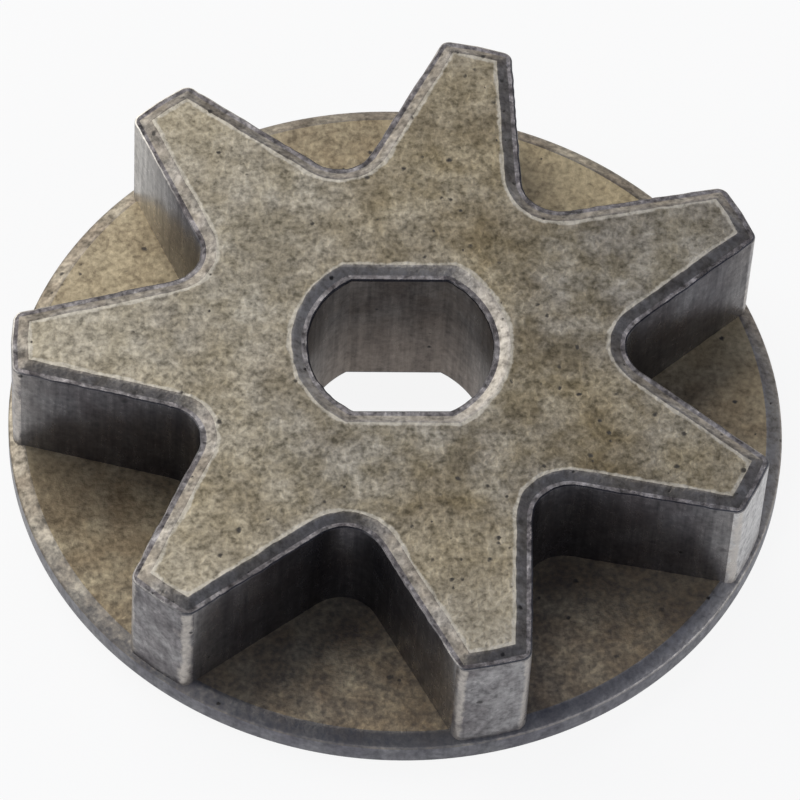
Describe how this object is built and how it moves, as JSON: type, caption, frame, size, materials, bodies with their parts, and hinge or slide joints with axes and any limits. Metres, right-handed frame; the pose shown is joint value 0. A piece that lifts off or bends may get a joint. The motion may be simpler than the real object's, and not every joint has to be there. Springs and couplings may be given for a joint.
{
  "type": "chainsaw sprocket",
  "caption": "Toothed spur drive sprocket with a round flange below the teeth, a double-D shaft bore and shallow chamfers, pressed and sintered in one piece.",
  "frame": {"origin": "centre of the flange's flat underside, on the bore axis", "axes": "+Z along the bore axis from the flange to the top of the teeth; X along the flats of the bore, with one tooth on -X and one tooth gap on +X"},
  "size_m": [0.038, 0.038, 0.0082],
  "materials": {
    "sintered_steel": "sintered, darkened by oxide, burnished on the top face"
  },
  "bodies": {
    "root": {"sprocket": "sintered_steel"}
  },
  "joints": []
}
